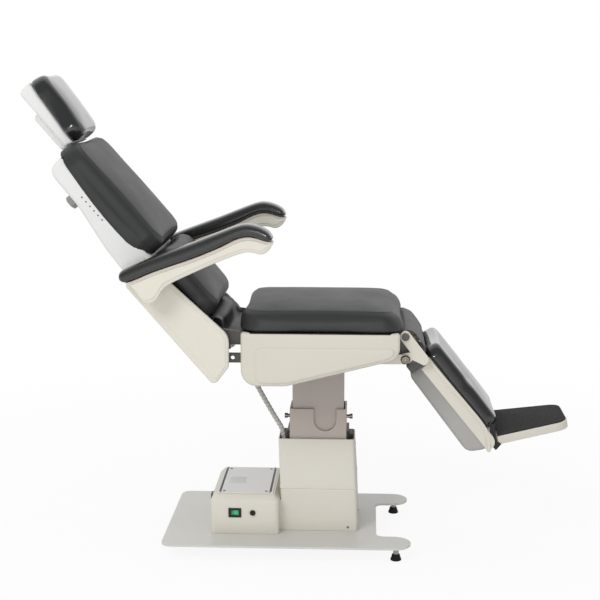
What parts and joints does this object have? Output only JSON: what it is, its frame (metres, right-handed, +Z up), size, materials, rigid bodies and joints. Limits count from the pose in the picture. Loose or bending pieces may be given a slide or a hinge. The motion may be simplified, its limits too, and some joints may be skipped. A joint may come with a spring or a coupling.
{
  "type": "reclining examination chair",
  "caption": "Reclining examination chair: lifting column on a notched floor plate, linked back and leg rest, swing-up arms, sliding headrest, folding foot plate.",
  "frame": {"origin": "on the floor, under the middle of the chair's length and width", "axes": "+X forward to the foot plate, +Y to the sitter's left, +Z up"},
  "size_m": [1.5968, 0.67, 1.3949],
  "materials": {
    "cream_plastic": "satin",
    "white_plastic": "satin",
    "plate_steel": "satin",
    "column_steel": "satin",
    "cream_steel": "satin",
    "dark_steel": "satin",
    "chrome": "polished",
    "grey_plastic": "satin",
    "actuator_body": "satin",
    "black_plastic": "satin",
    "green_plastic": "gloss",
    "rubber": "matte",
    "dark_vinyl": "satin",
    "plywood": "matte"
  },
  "bodies": {
    "base": {"base_plate": "plate_steel", "foot_pads": "rubber", "foot_studs": "chrome", "outer_column": "column_steel", "guide_pads": "black_plastic", "guide_bolts": "dark_steel", "column_cover": "cream_plastic", "cover_screws": "dark_steel", "power_box": "cream_plastic", "box_lid": "plate_steel", "switch_bezel": "black_plastic", "fuse_holder": "black_plastic", "power_inlet": "black_plastic", "power_supply": "black_plastic", "lift_actuator": "actuator_body", "hose_clip": "white_plastic"},
    "rocker": {"switch_rocker": "green_plastic"},
    "fuse": {"fuse_cap": "black_plastic"},
    "seat": {"lift_rod": "chrome", "inner_column": "column_steel", "seat_frame": "dark_steel", "hinge_pins": "dark_steel", "seat_board": "plywood", "seat_cushion": "dark_vinyl", "seat_cover_right": "cream_plastic", "seat_cover_left": "cream_plastic", "recline_actuator": "actuator_body", "front_flap": "dark_vinyl", "rear_flap": "dark_vinyl", "cable_hose": "white_plastic", "hose_gland": "chrome"},
    "drive_rod": {"recline_rod": "chrome"},
    "link": {"link_bars": "dark_steel", "link_pins": "chrome"},
    "back": {"back_frame": "dark_steel", "back_boards": "plywood", "back_cushion": "dark_vinyl", "lumbar_cushion": "dark_vinyl", "upper_back_shell": "white_plastic", "back_cover_right": "cream_plastic", "back_cover_left": "cream_plastic", "rear_cover": "cream_plastic", "key_strip": "dark_steel", "arm_spigots": "dark_steel"},
    "arm_right": {"arm_body_right": "cream_plastic", "arm_pad_right": "dark_vinyl"},
    "arm_left": {"arm_body_left": "cream_plastic", "arm_pad_left": "dark_vinyl"},
    "head_slide_bar": {"head_slide": "chrome", "head_bracket_cover": "white_plastic"},
    "headrest": {"head_shell": "white_plastic", "head_cushion": "dark_vinyl"},
    "knob": {"lock_knob": "grey_plastic"},
    "leg_rest": {"leg_frame": "cream_steel", "leg_casing": "grey_plastic", "leg_pan": "cream_plastic", "leg_cushion": "dark_vinyl", "foot_bracket": "dark_steel"},
    "foot_plate_body": {"foot_plate": "cream_plastic", "foot_mat": "rubber"}
  },
  "joints": [
    {"name": "lift", "type": "slide", "parent": "base", "child": "seat", "axis": [0, 0, 1], "range_m": [-0.12, 0.015], "deforming": ["cable_hose"]},
    {"name": "back_recline", "type": "hinge", "parent": "seat", "child": "back", "pos_m": [-0.212, 0, 0.661], "axis": [0, 1, 0], "range_deg": [-48, 30], "deforming": ["rear_flap"]},
    {"name": "leg_rest_swing", "type": "hinge", "parent": "seat", "child": "leg_rest", "pos_m": [0.314, 0, 0.661], "axis": [0, 1, 0], "range_deg": [-48, 30], "deforming": ["front_flap"]},
    {"name": "link_swing", "type": "hinge", "parent": "back", "child": "link", "pos_m": [-0.212, 0, 0.597], "axis": [0, 1, 0], "range_deg": [-30, 48]},
    {"name": "drive_rod_slide", "type": "slide", "parent": "seat", "child": "drive_rod", "axis": [1, 0, 0], "range_m": [-0.0325, 0.0515]},
    {"name": "arm_right_swing", "type": "hinge", "parent": "back", "child": "arm_right", "pos_m": [-0.41011, 0, 0.80811], "axis": [0, 1, 0], "range_deg": [-95, 0]},
    {"name": "arm_left_swing", "type": "hinge", "parent": "back", "child": "arm_left", "pos_m": [-0.41011, 0, 0.80811], "axis": [0, 1, 0], "range_deg": [-95, 0]},
    {"name": "headrest_slide", "type": "slide", "parent": "back", "child": "head_slide_bar", "axis": [-0.6561, 0, 0.7547], "range_m": [0, 0.12]},
    {"name": "headrest_tilt", "type": "hinge", "parent": "head_slide_bar", "child": "headrest", "pos_m": [-0.74626, 0, 1.26188], "axis": [0, 1, 0], "range_deg": [-15, 0]},
    {"name": "lock_knob_turn", "type": "hinge", "parent": "back", "child": "knob", "pos_m": [-0.65847, 0, 1.03742], "axis": [0.7547, 0, 0.6561], "range_deg": [-180, 180]},
    {"name": "foot_plate_fold", "type": "hinge", "parent": "leg_rest", "child": "foot_plate_body", "pos_m": [0.57891, 0, 0.34022], "axis": [0, 1, 0], "range_deg": [-25, 0]},
    {"name": "mains_switch", "type": "hinge", "parent": "base", "child": "rocker", "pos_m": [-0.183, -0.147, 0.115], "axis": [0, 0, 1], "range_deg": [-8, 8]},
    {"name": "fuse_cap_turn", "type": "hinge", "parent": "base", "child": "fuse", "pos_m": [-0.13, -0.15, 0.115], "axis": [0, 1, 0], "range_deg": [-90, 0]}
  ],
  "couplings": [
    {"joint": "leg_rest_swing", "follows": "back_recline", "ratio": 1},
    {"joint": "link_swing", "follows": "back_recline", "ratio": -1},
    {"joint": "drive_rod_slide", "follows": "back_recline", "m_per_rad": -0.06016}
  ]
}
